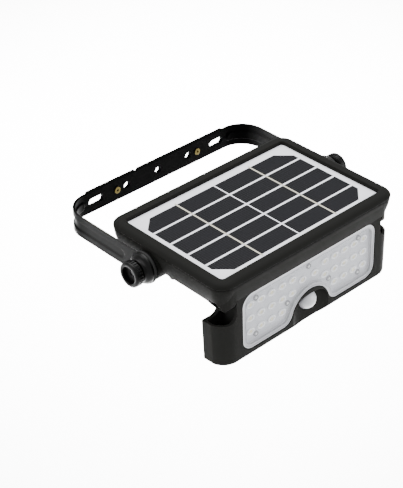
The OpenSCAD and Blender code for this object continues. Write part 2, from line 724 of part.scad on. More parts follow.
bracket();
backing_plate();
plate_rivets();
hub(-1);  // hub_left
hub(1);  // hub_right
bezel();
solar_backsheet();
solar_cells();
cell_ribbons();
panel_gasket();
lower_housing();
case_seal();
case_screws();
battery_cell();
battery_holder();
battery_cover();
battery_cover_screws();
control_board();
board_parts();
power_switch();
power_button();
pivot_bolt(-1);  // pivot_bolt_left
pivot_bolt(1);  // pivot_bolt_right
friction_washers();
knob(-1);  // knob_left
knob(1);  // knob_right
knob_insert(-1);  // knob_insert_left
knob_insert(1);  // knob_insert_right
hinge_screws();
lamp_housing();
lamp_back();
lamp_back_screws();
lens();
lens_gasket();
led_board();
led_chips();
led_board_screws();
heat_spreader();
hinge_bushes();
sensor_dome();
sensor_can();
sensor_board();
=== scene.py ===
import math
import bmesh
import bpy
from mathutils import Matrix, Vector


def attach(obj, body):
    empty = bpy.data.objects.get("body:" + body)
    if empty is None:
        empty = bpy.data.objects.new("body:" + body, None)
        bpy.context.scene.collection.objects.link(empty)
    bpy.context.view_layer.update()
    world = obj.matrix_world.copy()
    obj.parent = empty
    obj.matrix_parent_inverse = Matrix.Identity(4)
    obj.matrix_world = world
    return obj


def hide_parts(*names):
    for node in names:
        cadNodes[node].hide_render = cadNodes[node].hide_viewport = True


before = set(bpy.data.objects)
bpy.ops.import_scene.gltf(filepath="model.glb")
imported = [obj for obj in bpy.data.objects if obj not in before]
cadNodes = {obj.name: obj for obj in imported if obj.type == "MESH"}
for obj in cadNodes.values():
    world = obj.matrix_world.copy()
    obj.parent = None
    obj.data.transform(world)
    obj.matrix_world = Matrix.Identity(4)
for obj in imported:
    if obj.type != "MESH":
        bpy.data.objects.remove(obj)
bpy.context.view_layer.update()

mm = 0.001
print("frame loaded:", len(cadNodes), "nodes")


# ---- camera, floor and light ----

camera = {
    "azimuth": -43.47672, "elevation": 34.58189,   # degrees, as the photograph was taken
    "lens": 101.06, "sensor": 36.0,
    "offset": (-33.0145, -21.5884, 841.763),       # right, up and back from the aim, in mm
    "aim": (0.0, -92.3, 12.0),                     # middle of the panel's face, in mm
}
studio = {
    "floorZ": -0.6, "floorHalf": 8.0, "floorTone": (0.90, 0.90, 0.90),
    "skyTone": (0.98, 0.985, 1.0), "skyStrength": 1.0,
    "lights": [  # place, aim, width, height, watts
        ((0.55, 0.55, 1.5), (0.3, 0.3, -0.6), 1.6, 1.6, 46.0),
        ((-1.3, 0.25, 0.25), (0.0, -0.09, 0.0), 0.9, 0.9, 12.0),
        ((0.75, -1.2, 0.15), (0.0, -0.14, 0.0), 0.8, 0.8, 12.0),
        # low and beyond the lamp, for the floor: only its bounce reaches the lamp
        ((0.75, 0.72, -0.14), (0.75, 0.72, -0.6), 1.5, 1.5, 150.0),
    ],
}


def makeCamera():
    turn, rise = math.radians(camera["azimuth"]), math.radians(camera["elevation"])
    back = Vector((math.sin(turn) * math.cos(rise), -math.cos(turn) * math.cos(rise), math.sin(rise)))
    right = Vector((0, 0, 1)).cross(back).normalized()
    up = back.cross(right)
    data = bpy.data.cameras.new("camera")
    data.lens, data.sensor_width = camera["lens"], camera["sensor"]
    data.clip_start, data.clip_end = 0.01, 50
    eye = bpy.data.objects.new("camera", data)
    bpy.context.scene.collection.objects.link(eye)
    across, upward, away = camera["offset"]
    eye.matrix_world = Matrix((right, up, back)).transposed().to_4x4()
    eye.location = (Vector(camera["aim"]) + right * across + up * upward + back * away) * mm
    bpy.context.scene.camera = eye


def makeStudio():
    half, z = studio["floorHalf"], studio["floorZ"]
    mesh = bpy.data.meshes.new("floor")
    corners = [(-half, -half, z), (half, -half, z), (half, half, z), (-half, half, z)]
    mesh.from_pydata(corners, [], [(0, 1, 2, 3)])
    floor = bpy.data.objects.new("floor", mesh)
    bpy.context.scene.collection.objects.link(floor)
    paint = bpy.data.materials.new("paleFloor")
    paint.use_nodes = True
    shader = paint.node_tree.nodes["Principled BSDF"]
    shader.inputs["Base Color"].default_value = (*studio["floorTone"], 1)
    shader.inputs["Roughness"].default_value = 0.9
    shader.inputs["Specular IOR Level"].default_value = 0.1
    mesh.materials.append(paint)
    world = bpy.data.worlds.new("sky")
    world.use_nodes = True
    sky = world.node_tree.nodes["Background"]
    sky.inputs["Color"].default_value = (*studio["skyTone"], 1)
    sky.inputs["Strength"].default_value = studio["skyStrength"]
    bpy.context.scene.world = world
    for number, (place, aim, width, height, watts) in enumerate(studio["lights"]):
        data = bpy.data.lights.new(f"softbox{number}", "AREA")
        data.shape, data.size, data.size_y, data.energy = "RECTANGLE", width, height, watts
        lamp = bpy.data.objects.new(data.name, data)
        lamp.location = place
        lamp.rotation_euler = (Vector(aim) - Vector(place)).to_track_quat("-Z", "Y").to_euler()
        bpy.context.scene.collection.objects.link(lamp)


makeCamera()
makeStudio()
print("camera and studio made")


# ---- node trees ----

class Wire:  # an output socket that takes part in sums
    def __init__(self, graph, socket):
        self.graph, self.socket = graph, socket

    def sum(self, operation, *terms):
        return self.graph.add("ShaderNodeMath", {"operation": operation}, dict(enumerate(terms)))

    def __add__(self, other):
        return self.sum("ADD", self, other)

    def __radd__(self, other):
        return self.sum("ADD", other, self)

    def __sub__(self, other):
        return self.sum("SUBTRACT", self, other)

    def __mul__(self, other):
        return self.sum("MULTIPLY", self, other)

    def __truediv__(self, other):
        return self.sum("DIVIDE", self, other)


class Graph:  # a shader or geometry tree that is built node by node
    def __init__(self, tree):
        self.tree = tree

    def add(self, kind, settings=None, sockets=None, out=0):
        node = self.tree.nodes.new(kind)
        for key, value in (settings or {}).items():
            setattr(node, key, value)
        for key, value in (sockets or {}).items():
            if isinstance(value, Wire):
                self.tree.links.new(value.socket, node.inputs[key])
            else:
                node.inputs[key].default_value = value
        return Wire(self, node.outputs[out])


class Finish(Graph):  # one material; what varies goes through feed()
    def __init__(self, name, fixed):
        self.material = bpy.data.materials.new(name)
        self.material.use_nodes = True
        super().__init__(self.material.node_tree)
        self.shader = self.tree.nodes["Principled BSDF"]
        for key, value in fixed.items():
            self.shader.inputs[key].default_value = value
        self.place = self.add("ShaderNodeTexCoord", out="Object")

    def feed(self, key, wire):
        self.tree.links.new(wire.socket, self.shader.inputs[key])

    def noise(self, size, detail=2.0, stretch=(1, 1, 1)):  # size of a grain, in metres
        spot = self.add("ShaderNodeMapping", None, {"Vector": self.place, "Scale": stretch})
        return self.add("ShaderNodeTexNoise", None,
                        {"Vector": spot, "Scale": 1 / size, "Detail": detail, "Roughness": 0.55})

    def blend(self, factor, low, high):
        tones = [tone if isinstance(tone, Wire) else (*tone, 1) for tone in (low, high)]
        return self.add("ShaderNodeMix", {"data_type": "RGBA"}, {0: factor, 6: tones[0], 7: tones[1]}, out=2)

    def axes(self):
        split = self.add("ShaderNodeSeparateXYZ", None, {"Vector": self.place})
        return [Wire(self, output) for output in split.socket.node.outputs]

    def relief(self, height, depth, strength=1.0, edge=None):
        sockets = {"Height": height, "Distance": depth, "Strength": strength}
        if edge:
            sockets["Normal"] = self.add("ShaderNodeBevel", {"samples": 4}, {"Radius": edge})
        self.feed("Normal", self.add("ShaderNodeBump", None, sockets))


# ---- finishes ----

def mouldedPlastic(name, look):
    finish = Finish(name, {"IOR": 1.46, "Specular IOR Level": look["shine"]})
    grain = finish.noise(look["grain"], 3)
    cloud = finish.noise(0.035, 3)
    finish.feed("Base Color", finish.blend(cloud, look["dark"], look["light"]))
    finish.feed("Roughness", look["rough"] + (grain - 0.5) * 0.16 + (cloud - 0.5) * 0.12)
    finish.relief(grain, look["depth"], 1.0, look["edge"])
    return finish.material


def powderCoat(name, look):
    finish = Finish(name, {"IOR": 1.5, "Coat Roughness": 0.25, "Specular IOR Level": look["shine"]})
    peel = finish.noise(0.0011, 2)
    speck = finish.noise(0.00035, 2)
    cloud = finish.noise(0.03, 2)
    y = finish.axes()[1]
    # painted shade: near the wall the strap and bar are blended to a near-black colour, for the shade the bar
    # sits in under the panel unit
    wallShadeMask = finish.add("ShaderNodeMath", {"operation": "ADD", "use_clamp": True}, {0: y / 0.02, 1: 1.5})
    worn = finish.blend(cloud, look["dark"], look["light"])
    finish.feed("Base Color", finish.blend(wallShadeMask, worn, look["shade"]))
    finish.feed("Roughness", look["rough"] + (speck - 0.5) * 0.14)
    finish.feed("Coat Weight", 0.001 + cloud * 0.003)
    finish.relief(peel + speck * 0.35, look["depth"], 1.0, look["edge"])
    return finish.material


def bareMetal(name, look):
    finish = Finish(name, {"Metallic": look["metal"]})
    brushed = finish.noise(0.0006, 3, look["brush"])
    stain = finish.noise(0.006, 3)
    finish.feed("Base Color", finish.blend(stain, look["dark"], look["light"]))
    finish.feed("Roughness", look["rough"] + (brushed - 0.5) * 0.25)
    finish.relief(brushed, 0.00002, 0.6, look["edge"])
    return finish.material


def plainPlastic(name, look):
    finish = Finish(name, {"Specular IOR Level": look.get("shine", 0.5), "Alpha": look.get("alpha", 1.0),
                           "Coat Weight": look.get("coat", 0.0), "Coat Roughness": 0.08})
    cloud = finish.noise(look.get("grain", 0.004), 3)
    finish.feed("Base Color", finish.blend(cloud, look["dark"], look["light"]))
    finish.feed("Roughness", look["rough"] + (cloud - 0.5) * 0.12)
    finish.relief(cloud, look.get("depth", 0.00001), 0.5, look.get("edge"))
    return finish.material


def siliconCell(name, look):  # fingers across each cell, with a faint crystal tint
    finish = Finish(name, {"Coat Weight": 0.04, "Coat Roughness": 0.12, "Specular IOR Level": 0.05})
    x, y = finish.axes()[:2]
    finger = finish.add("ShaderNodeMath", {"operation": "FRACT"}, {0: x / look["fingerPitch"] + 400.0})
    finger = finish.add("ShaderNodeMath", {"operation": "LESS_THAN"}, {0: finger, 1: look["fingerWidth"]})
    busbar = finish.add("ShaderNodeMath", {"operation": "FRACT"}, {0: y / look["rowPitch"] + 400.0})
    busbar = finish.add("ShaderNodeMath", {"operation": "LESS_THAN"}, {0: busbar, 1: look["rowWidth"]})
    tint = finish.noise(0.012, 2, (1, 0.3, 1))
    silicon = finish.blend(tint, look["dark"], look["light"])
    lined = finish.blend(finger * 0.5 + busbar * 0.25, silicon, look["finger"])
    finish.feed("Base Color", lined)
    finish.feed("Roughness", 0.42 + (tint - 0.5) * 0.1 - finger * 0.08)
    finish.relief(finger, 0.00001, 0.4)
    return finish.material


def lensEdging(name, look):  # the moulded edge, with painted light along its top and painted shade lower down
    finish = Finish(name, {"Coat Weight": 0.6, "Coat Roughness": 0.1, "Alpha": 0.94,
                           "Specular IOR Level": 0.4})
    z = finish.axes()[2]
    cloud = finish.noise(0.004, 2)
    # painted light and shade: the rim is blended from its dark to its light colour with height
    topLightMask = finish.add("ShaderNodeMath", {"operation": "ADD", "use_clamp": True}, {0: z / 0.018, 1: 1.25})
    finish.feed("Base Color", finish.blend(topLightMask * 0.9 + cloud * 0.1, look["dark"], look["light"]))
    finish.feed("Roughness", 0.2 + (cloud - 0.5) * 0.1)
    finish.relief(cloud, 0.00001, 0.4)
    return finish.material


def laminateSheet(name, look):
    finish = Finish(name, {"Coat Weight": 0.4, "Coat Roughness": 0.1, "Specular IOR Level": 0.4})
    cloud = finish.noise(0.02, 2)
    weave = finish.noise(0.0009, 2)
    finish.feed("Base Color", finish.blend(cloud, look["dark"], look["light"]))
    finish.feed("Roughness", 0.38 + (weave - 0.5) * 0.12)
    finish.relief(weave, 0.000012, 0.5)
    return finish.material


black = {"dark": (0.0088, 0.0088, 0.0080), "light": (0.0110, 0.0110, 0.0100), "rough": 0.52, "shine": 0.03,
         "grain": 0.0004, "depth": 0.00003, "edge": 0.0005}
finishes = {
    "casePlastic": mouldedPlastic("casePlastic", black),
    "headPlastic": mouldedPlastic("headPlastic", {
        **black, "dark": (0.0125, 0.0125, 0.0115), "light": (0.0150, 0.0150, 0.0140), "rough": 0.50,
        "shine": 0.02}),
    "knobPlastic": mouldedPlastic("knobPlastic", {
        **black, "dark": (0.0012, 0.0012, 0.0011), "light": (0.0032, 0.0032, 0.003), "rough": 0.30,
        "shine": 0.16, "edge": 0.0003}),
    "bracketPaint": powderCoat("bracketPaint", {
        "dark": (0.026, 0.0262, 0.0258), "light": (0.032, 0.0322, 0.0318),
        # shade is the painted shade colour the strap takes near the wall
        "shade": (0.0002, 0.0002, 0.0002), "rough": 0.38, "shine": 0.012, "depth": 0.00003,
        "edge": 0.00035}),
    "brassPlain": bareMetal("brassPlain", {
        "dark": (0.085, 0.066, 0.018), "light": (0.135, 0.105, 0.032), "metal": 1.0, "rough": 0.30,
        "brush": (1, 1, 1), "edge": 0.0002}),
    "screwSteel": bareMetal("screwSteel", {
        "dark": (0.035, 0.035, 0.037), "light": (0.06, 0.06, 0.064), "metal": 1.0, "rough": 0.36,
        "brush": (1, 1, 0.3), "edge": 0.0002}),
    "screwBlack": bareMetal("screwBlack", {
        "dark": (0.008, 0.008, 0.008), "light": (0.014, 0.014, 0.014), "metal": 0.6, "rough": 0.5,
        "brush": (1, 1, 0.3), "edge": 0.0002}),
    "boltSteel": bareMetal("boltSteel", {
        "dark": (0.32, 0.32, 0.33), "light": (0.46, 0.46, 0.47), "metal": 1.0, "rough": 0.22,
        "brush": (0.2, 1, 1), "edge": 0.0002}),
    "ribbonTin": bareMetal("ribbonTin", {
        "dark": (0.48, 0.455, 0.36), "light": (0.58, 0.55, 0.45), "metal": 0.1, "rough": 0.42,
        "brush": (1, 0.1, 1), "edge": 0.0001}),
    "aluminiumPlate": bareMetal("aluminiumPlate", {
        "dark": (0.55, 0.56, 0.57), "light": (0.70, 0.71, 0.72), "metal": 1.0, "rough": 0.4,
        "brush": (0.05, 1, 1), "edge": 0.0002}),
    "sheetWhite": laminateSheet("sheetWhite", {"dark": (0.93, 0.93, 0.97), "light": (0.96, 0.96, 1.0)}),
    "siliconDark": siliconCell("siliconDark", {
        "dark": (0.0024, 0.0024, 0.0034), "light": (0.0036, 0.0037, 0.0050),
        "finger": (0.026, 0.027, 0.033), "fingerPitch": 0.0018, "fingerWidth": 0.2, "rowPitch": 0.0022,
        "rowWidth": 0.12}),
    "boardWhite": plainPlastic("boardWhite", {
        "dark": (0.40, 0.41, 0.445), "light": (0.46, 0.47, 0.505), "rough": 0.35, "grain": 0.01}),
    "packageWhite": plainPlastic("packageWhite", {
        "dark": (0.56, 0.56, 0.55), "light": (0.66, 0.66, 0.64), "rough": 0.3, "edge": 0.0002}),
    "phosphor": plainPlastic("phosphor", {
        "dark": (0.58, 0.52, 0.28), "light": (0.64, 0.58, 0.34), "rough": 0.45}),
    "lensClear": plainPlastic("lensClear", {
        "dark": (0.84, 0.86, 0.90), "light": (0.90, 0.92, 0.95), "rough": 0.14, "alpha": 0.14,
        "coat": 0.5, "grain": 0.03}),
    # lensRim: dark is the painted shade low on the rim, light the painted light along its top
    "lensRim": lensEdging("lensRim", {"dark": (0.33, 0.335, 0.36), "light": (0.52, 0.525, 0.56)}),
    # painted highlight: a pale opaque colour on the lens's rounded outer edge, added to the light the rounded
    # shape itself catches
    "lensBead": plainPlastic("lensBead", {
        "dark": (0.60, 0.605, 0.63), "light": (0.70, 0.705, 0.73), "rough": 0.12, "alpha": 0.96,
        "coat": 0.8, "grain": 0.008}),
    # painted highlight: a near-white ring on each small optic
    "lensletRing": plainPlastic("lensletRing", {
        "dark": (0.93, 0.93, 0.95), "light": (0.99, 0.99, 1.0), "rough": 0.12, "coat": 0.8,
        "grain": 0.01}),
    "domeMilk": plainPlastic("domeMilk", {
        "dark": (0.54, 0.545, 0.57), "light": (0.61, 0.615, 0.64), "rough": 0.30, "coat": 0.5,
        "grain": 0.002, "depth": 0.00003}),
    "rubberBlack": plainPlastic("rubberBlack", {
        "dark": (0.001, 0.001, 0.001), "light": (0.002, 0.002, 0.002), "rough": 0.62, "shine": 0.15,
        "grain": 0.0008, "edge": 0.0003}),
    "gasketWhite": plainPlastic("gasketWhite", {
        "dark": (0.5, 0.5, 0.52), "light": (0.58, 0.58, 0.6), "rough": 0.6}),
    "boardGreen": plainPlastic("boardGreen", {
        "dark": (0.012, 0.09, 0.035), "light": (0.02, 0.13, 0.05), "rough": 0.32, "coat": 0.4}),
    "chipBlack": plainPlastic("chipBlack", {
        "dark": (0.010, 0.010, 0.011), "light": (0.018, 0.018, 0.02), "rough": 0.5, "grain": 0.0006}),
    "wrapBlue": plainPlastic("wrapBlue", {
        "dark": (0.03, 0.20, 0.36), "light": (0.05, 0.27, 0.45), "rough": 0.25, "coat": 0.5}),
    "bushNatural": plainPlastic("bushNatural", {
        "dark": (0.55, 0.52, 0.43), "light": (0.63, 0.60, 0.50), "rough": 0.4}),
}
print("finishes made:", len(finishes))


# ---- mesh tools ----

def link(name, mesh):
    piece = bpy.data.objects.new(name, mesh)
    bpy.context.scene.collection.objects.link(piece)
    return piece


def shade(mesh, angle=32):
    tidy = bmesh.new()
    tidy.from_mesh(mesh)
    bmesh.ops.remove_doubles(tidy, verts=tidy.verts, dist=1e-6)
    bmesh.ops.recalc_face_normals(tidy, faces=tidy.faces)
    tidy.to_mesh(mesh)
    tidy.free()
    mesh.shade_smooth()
    mesh.set_sharp_from_angle(angle=math.radians(angle))


def build(name, points, faces, finish=None, angle=32):  # points in mm
    mesh = bpy.data.meshes.new(name)
    mesh.from_pydata([Vector(point) * mm for point in points], [], faces)
    if finish:
        mesh.materials.append(finishes[finish])
    shade(mesh, angle)
    return link(name, mesh)


def skin(loops, closed=False, capped=True):  # points and faces of a surface through equal loops
    count = len(loops[0])
    points = [point for loop in loops for point in loop]
    faces = []
    steps = len(loops) if closed else len(loops) - 1
    for row in range(steps):
        low, high = row * count, (row + 1) % len(loops) * count
        faces += [(low + i, low + (i + 1) % count, high + (i + 1) % count, high + i) for i in range(count)]
    if capped and not closed:
        faces += [tuple(range(count - 1, -1, -1)), tuple(range((len(loops) - 1) * count, len(loops) * count))]
    return points, faces


def settle(piece):  # turns the evaluated result into a plain mesh
    flat = bpy.data.meshes.new_from_object(piece.evaluated_get(bpy.context.evaluated_depsgraph_get()))
    piece.modifiers.clear()
    old, piece.data = piece.data, flat
    flat.name = old.name
    bpy.data.meshes.remove(old)
    return piece


def carve(piece, tools, operation="DIFFERENCE"):
    for tool in tools:
        change = piece.modifiers.new("carve", "BOOLEAN")
        change.operation, change.solver, change.object = operation, "EXACT", tool
        settle(piece)
        bpy.data.objects.remove(tool)
    shade(piece.data)
    return piece


def arc(centre, radius, start, stop, steps):
    return [(centre[0] + radius * math.cos(math.radians(start + (stop - start) * i / steps)),
             centre[1] + radius * math.sin(math.radians(start + (stop - start) * i / steps)))
            for i in range(steps + 1)]


def roundRect(width, height, radius, steps=12, centre=(0, 0)):
    x, y = width / 2 - radius, height / 2 - radius
    corners = [((x, y), 0), ((-x, y), 90), ((-x, -y), 180), ((x, -y), 270)]
    return [(centre[0] + px, centre[1] + py) for spot, turn in corners
            for px, py in arc(spot, radius, turn, turn + 90, steps)]


def prism(name, outline, low, high, axis="y"):  # an outline in the two other axes, drawn out along axis
    place = {"x": lambda p, t: (t, p[0], p[1]), "y": lambda p, t: (p[0], t, p[1]),
             "z": lambda p, t: (p[0], p[1], t)}
    return build(name, *skin([[place[axis](p, t) for p in outline] for t in (low, high)]))


def ringSweep(profile, width, depth, radius, centre, steps=14):  # profile of (corner radius, height)
    loops = []
    for spot, turn in [((1, 1), 0), ((-1, 1), 90), ((-1, -1), 180), ((1, -1), 270)]:
        x, y = spot[0] * (width / 2 - radius), spot[1] * (depth / 2 - radius)
        for i in range(steps + 1):
            angle = math.radians(turn + 90 * i / steps)
            loops.append([(x + out * math.cos(angle), centre + y + out * math.sin(angle), z)
                          for out, z in profile])
    return skin(loops, closed=True)


def turned(name, profile, finish, side, steps=96, angle=32):  # closed profile of (distance along X, radius)
    loops = []
    for i in range(steps):
        turn = math.tau * i / steps
        loops.append([(side * x, unit["axisY"] + r * math.cos(turn), r * math.sin(turn)) for x, r in profile])
    return build(name, *skin(loops, closed=True), finish, angle)


def softened(node, width, finish, name, segments=2, limit=40):  # the node's own shape with its edges eased
    mesh = cadNodes[node].data.copy()
    work = bmesh.new()
    work.from_mesh(mesh)
    bmesh.ops.remove_doubles(work, verts=work.verts, dist=2e-6)
    bmesh.ops.dissolve_limit(work, angle_limit=math.radians(0.6), verts=work.verts, edges=work.edges)
    work.to_mesh(mesh)
    work.free()
    mesh.materials.clear()
    mesh.materials.append(finishes[finish])
    for face in mesh.polygons:
        face.material_index = 0
    piece = link(name, mesh)
    ease = piece.modifiers.new("ease", "BEVEL")
    ease.width, ease.segments = width * mm, segments
    ease.limit_method, ease.angle_limit = "ANGLE", math.radians(limit)
    ease.use_clamp_overlap = True
    settle(piece)
    shade(piece.data, 34)
    return piece


def place(piece, body, slot, *replaced):
    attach(piece, body)
    if replaced:
        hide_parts(*replaced)
    return piece


# ---- geometry node trees for what repeats ----

class Kit(Graph):  # a geometry tree with named sizes; it ends in Realize Instances and Set Material
    def __init__(self, name, sizes):
        tree = bpy.data.node_groups.new(name, "GeometryNodeTree")
        super().__init__(tree)
        tree.interface.new_socket("Geometry", in_out="INPUT", socket_type="NodeSocketGeometry")
        for size in sizes:
            tree.interface.new_socket(size, in_out="INPUT", socket_type="NodeSocketFloat")
        tree.interface.new_socket("Geometry", in_out="OUTPUT", socket_type="NodeSocketGeometry")
        entry = tree.nodes.new("NodeGroupInput")
        self.spots = Wire(self, entry.outputs[0])
        self.size = {size: Wire(self, entry.outputs[size]) for size in sizes}

    def vector(self, x, y, z):
        return self.add("ShaderNodeCombineXYZ", None, {"X": x, "Y": y, "Z": z})

    def end(self, shape, finish):
        placed = self.add("GeometryNodeInstanceOnPoints", None, {"Points": self.spots, "Instance": shape})
        real = self.add("GeometryNodeRealizeInstances", None, {"Geometry": placed})
        painted = self.add("GeometryNodeSetMaterial", None, {"Geometry": real, "Material": finishes[finish]})
        leave = self.tree.nodes.new("NodeGroupOutput")
        self.tree.links.new(painted.socket, leave.inputs[0])
        return self.tree


def repeat(name, kit, spots, sizes, angle=32, move=None):  # spots in mm, sizes in metres or as counts
    piece = link(name, bpy.data.meshes.new(name))
    piece.data.from_pydata([Vector(spot) * mm for spot in spots], [], [])
    copier = piece.modifiers.new(name, "NODES")
    copier.node_group = kit
    for item in kit.interface.items_tree:
        if item.item_type == "SOCKET" and item.in_out == "INPUT" and item.name in sizes:
            copier[item.identifier] = sizes[item.name]
    settle(piece)
    if move:
        piece.data.transform(move)
    shade(piece.data, angle)
    return piece


# ---- panel unit ----

unit = {"axisY": -78.8, "centreY": -91.3, "width": 153.0, "depth": 100.2, "radius": 10.0, "window": 136.4,
        "top": 14.5, "low": 11.4, "crownRise": 2.8}


def makeBezel():
    lip = unit["radius"] - (unit["width"] - unit["window"]) / 2
    top, low = unit["top"], unit["low"]
    crown = [(5 + 5 * math.sin(t), top - unit["crownRise"] * (1 - math.cos(t)))
             for t in [math.radians(88 * i / 14) for i in range(1, 15)]]
    profile = [(lip, 12.1), (lip + 0.4, 13.95), (lip + 0.5, 14.24), (lip + 0.7, 14.43), (lip + 1.0, top),
               (3.6, top), (5, top), *crown, (10, low + 0.22), (9.93, low + 0.06), (9.75, low),
               (7.6, low), (7.6, 9.6), (6.4, 9.6), (6.4, 10.0), (lip + 1.6, 10.0), (lip + 1.6, 12.1)]
    swept = ringSweep(profile, unit["width"], unit["depth"], unit["radius"], unit["centreY"], 18)
    return build("bezelFrame", *swept, "casePlastic")


place(makeBezel(), "panel_unit", "black_plastic", "bezel")
place(softened("lower_housing", 0.45, "casePlastic", "lowerCase"),
      "panel_unit", "black_plastic", "lower_housing")
place(softened("battery_cover", 0.5, "casePlastic", "batteryCover"),
      "panel_unit", "black_plastic", "battery_cover")


def makeButton():
    look = {"x": -68.0, "y": -92.0, "radius": 2.6, "low": -7.0, "flange": 3.3}
    section = [(0.9, look["low"]), (1.6, look["low"] + 0.15), (2.2, look["low"] + 0.5),
               (look["radius"], look["low"] + 1.3), (look["radius"], 2.6), (look["flange"], 2.6),
               (look["flange"], 3.4)]
    loops = [[(look["x"] + r * math.cos(math.tau * i / 48), look["y"] + r * math.sin(math.tau * i / 48), z)
              for i in range(48)] for r, z in section]
    return build("powerButtonCap", *skin(loops), "rubberBlack")


place(makeButton(), "power_button", "button_rubber", "power_button")
print("panel unit made")


# ---- bracket ----

bracket = {"half": 80.0, "bend": 18.0, "barY": -1.2, "height": 15.5, "thick": 1.5, "eye": 10.5, "bore": 2.55,
           "grooveHalf": 3.0, "grooveDepth": 0.9, "grooveSlope": 0.9, "grooveStart": 17.9, "grooveEnd": 78.0,
           "slots": 52.9, "holes": (-27.0, 0.0, 27.0), "rivets": 35.3}


def strapPath():  # places and outward directions along the outer face, right half first
    half, bend, low = bracket["half"], bracket["bend"], unit["axisY"]
    corner = (half - bend, bracket["barY"] - bend)
    track = [((half, low + (corner[1] - low) * i / 60), (1, 0)) for i in range(60)]
    track += [(point, (math.cos(math.radians(a)), math.sin(math.radians(a))))
              for a, point in zip([90 * i / 36 for i in range(37)], arc(corner, bend, 0, 90, 36))]
    bar = [((corner[0] * (1 - i / 12), bracket["barY"]), (0, 1)) for i in range(1, 13)]
    right = track + bar
    left = [((-x, y), (-nx, ny)) for (x, y), (nx, ny) in reversed(right[:-1])]
    return right + left


def grooveShape(x, y, z):  # how deep the pressed groove is at a place on the outer face
    side, bend = abs(x), bracket["bend"]
    straightStart = unit["axisY"] + bracket["grooveStart"] + bracket["grooveHalf"]
    cornerX, cornerY = bracket["half"] - bend, bracket["barY"] - bend
    if y < straightStart:
        reach = math.hypot(y - straightStart, z)
    elif y > cornerY and side > cornerX - 0.01:
        angle = math.degrees(math.atan2(y - cornerY, side - cornerX))
        past = max(0.0, math.radians(angle - bracket["grooveEnd"]) * bend)
        reach = math.hypot(past, z)
    elif side <= cornerX:
        reach = 99.0
    else:
        reach = abs(z)
    edge = (bracket["grooveHalf"] + bracket["grooveSlope"] / 2 - reach) / bracket["grooveSlope"]
    edge = min(1.0, max(0.0, edge))
    return bracket["grooveDepth"] * edge * edge * (3 - 2 * edge)


def makeBracket():
    half, thick, ease = bracket["height"] / 2, bracket["thick"], 0.3
    heights = [-half + ease + (2 * half - 2 * ease) * i / 44 for i in range(45)]
    loops = []
    for (x, y), (nx, ny) in strapPath():
        outer = [(x - nx * grooveShape(x, y, z), y - ny * grooveShape(x, y, z), z) for z in heights]
        inner = [(x - nx * (thick + grooveShape(x, y, z)), y - ny * (thick + grooveShape(x, y, z)), z)
                 for z in reversed(heights)]
        topEdge = [(x - nx * inset, y - ny * inset, half) for inset in (ease, thick - ease)]
        lowEdge = [(px, py, -half) for px, py, _ in reversed(topEdge)]
        loops.append(outer + topEdge + inner + lowEdge)
    strap = build("bracketStrap", *skin(loops), "bracketPaint")
    outerX, innerX = bracket["half"], bracket["half"] - thick
    eyes = []
    for side in (-1, 1):
        rim = bracket["eye"]
        section = [(innerX, rim - 0.25), (innerX + 0.25, rim), (outerX - 0.25, rim), (outerX, rim - 0.25)]
        turns = [math.tau * i / 96 for i in range(96)]
        loopsOfEye = [[(side * x, unit["axisY"] + r * math.cos(turn), r * math.sin(turn)) for turn in turns]
                      for x, r in section]
        eyes.append(build("eye", *skin(loopsOfEye)))
    carve(strap, eyes, "UNION")
    y0, y1 = bracket["barY"] - thick - 2, bracket["barY"] + 1
    cutters = [prism("bore", arc((unit["axisY"], 0), bracket["bore"], 0, 352.5, 47), side * 78, side * 81, "x")
               for side in (-1, 1)]
    cutters += [prism("hole", arc((x, 0), 2.5, 0, 352.5, 47), y0, y1) for x in bracket["holes"]]
    cutters += [prism("rivetHole", arc((side * bracket["rivets"], 0), 1.5, 0, 345, 23), y0, y1)
                for side in (-1, 1)]
    cutters += [prism("slot", roundRect(12, 5.5, 2.749, 12, (side * bracket["slots"], 0)), y0, y1)
                for side in (-1, 1)]
    carve(strap, cutters)
    return strap


place(makeBracket(), "bracket", "black_metal", "bracket")
place(softened("backing_plate", 0.25, "bracketPaint", "backingPlate"),
      "bracket", "black_metal", "backing_plate")


def makeHub(side):
    out, base = bracket["half"], 10.0
    profile = [(out, 2.55), (out, base - 0.15), (out + 0.15, base), (out + 1.5, base),
               (out + 1.7, base - 0.25), (out + 2.2, base - 0.4), (out + 3.0, base - 0.85),
               (out + 3.7, base - 1.6), (out + 4.1, base - 2.35), (out + 4.25, base - 2.5),
               (out + 4.6, base - 2.5), (out + 5.1, base - 2.75), (out + 5.35, base - 3.2),
               (out + 5.4, base - 3.8), (out + 5.4, 2.55)]
    return turned("clampWasher" + ("Left" if side < 0 else "Right"), profile, "knobPlastic", side)


place(makeHub(-1), "bracket", "black_plastic", "hub_left")
place(makeHub(1), "bracket", "black_plastic", "hub_right")


# ---- clamp knobs ----

knob = {"in": 85.8, "out": 92.0, "radius": 8.3, "cup": 5.6, "cupDepth": 3.2, "ribs": 28, "ribWidth": 0.0009,
        "ribHeight": 0.0007, "ribLength": 0.0030}


def ribKit():  # straight ribs laid round an axis along X
    kit = Kit("gripRibs", ["Radius", "Rib Width", "Rib Height", "Rib Length", "Ribs"])
    bar = kit.add("GeometryNodeMeshCube", None,
                  {"Size": kit.vector(kit.size["Rib Length"], kit.size["Rib Width"], kit.size["Rib Height"])})
    lifted = kit.add("GeometryNodeTransform", None,
                     {"Geometry": bar, "Translation": kit.vector(0, 0, kit.size["Radius"])})
    line = kit.add("GeometryNodeMeshLine", None, {"Count": kit.size["Ribs"], "Offset": (0, 0, 0)})
    number = kit.add("GeometryNodeInputIndex")
    turn = kit.vector(number * math.tau / kit.size["Ribs"], 0, 0)
    ring = kit.add("GeometryNodeInstanceOnPoints", None,
                   {"Points": line, "Instance": lifted, "Rotation": turn})
    return kit.end(kit.add("GeometryNodeRealizeInstances", None, {"Geometry": ring}), "knobPlastic")


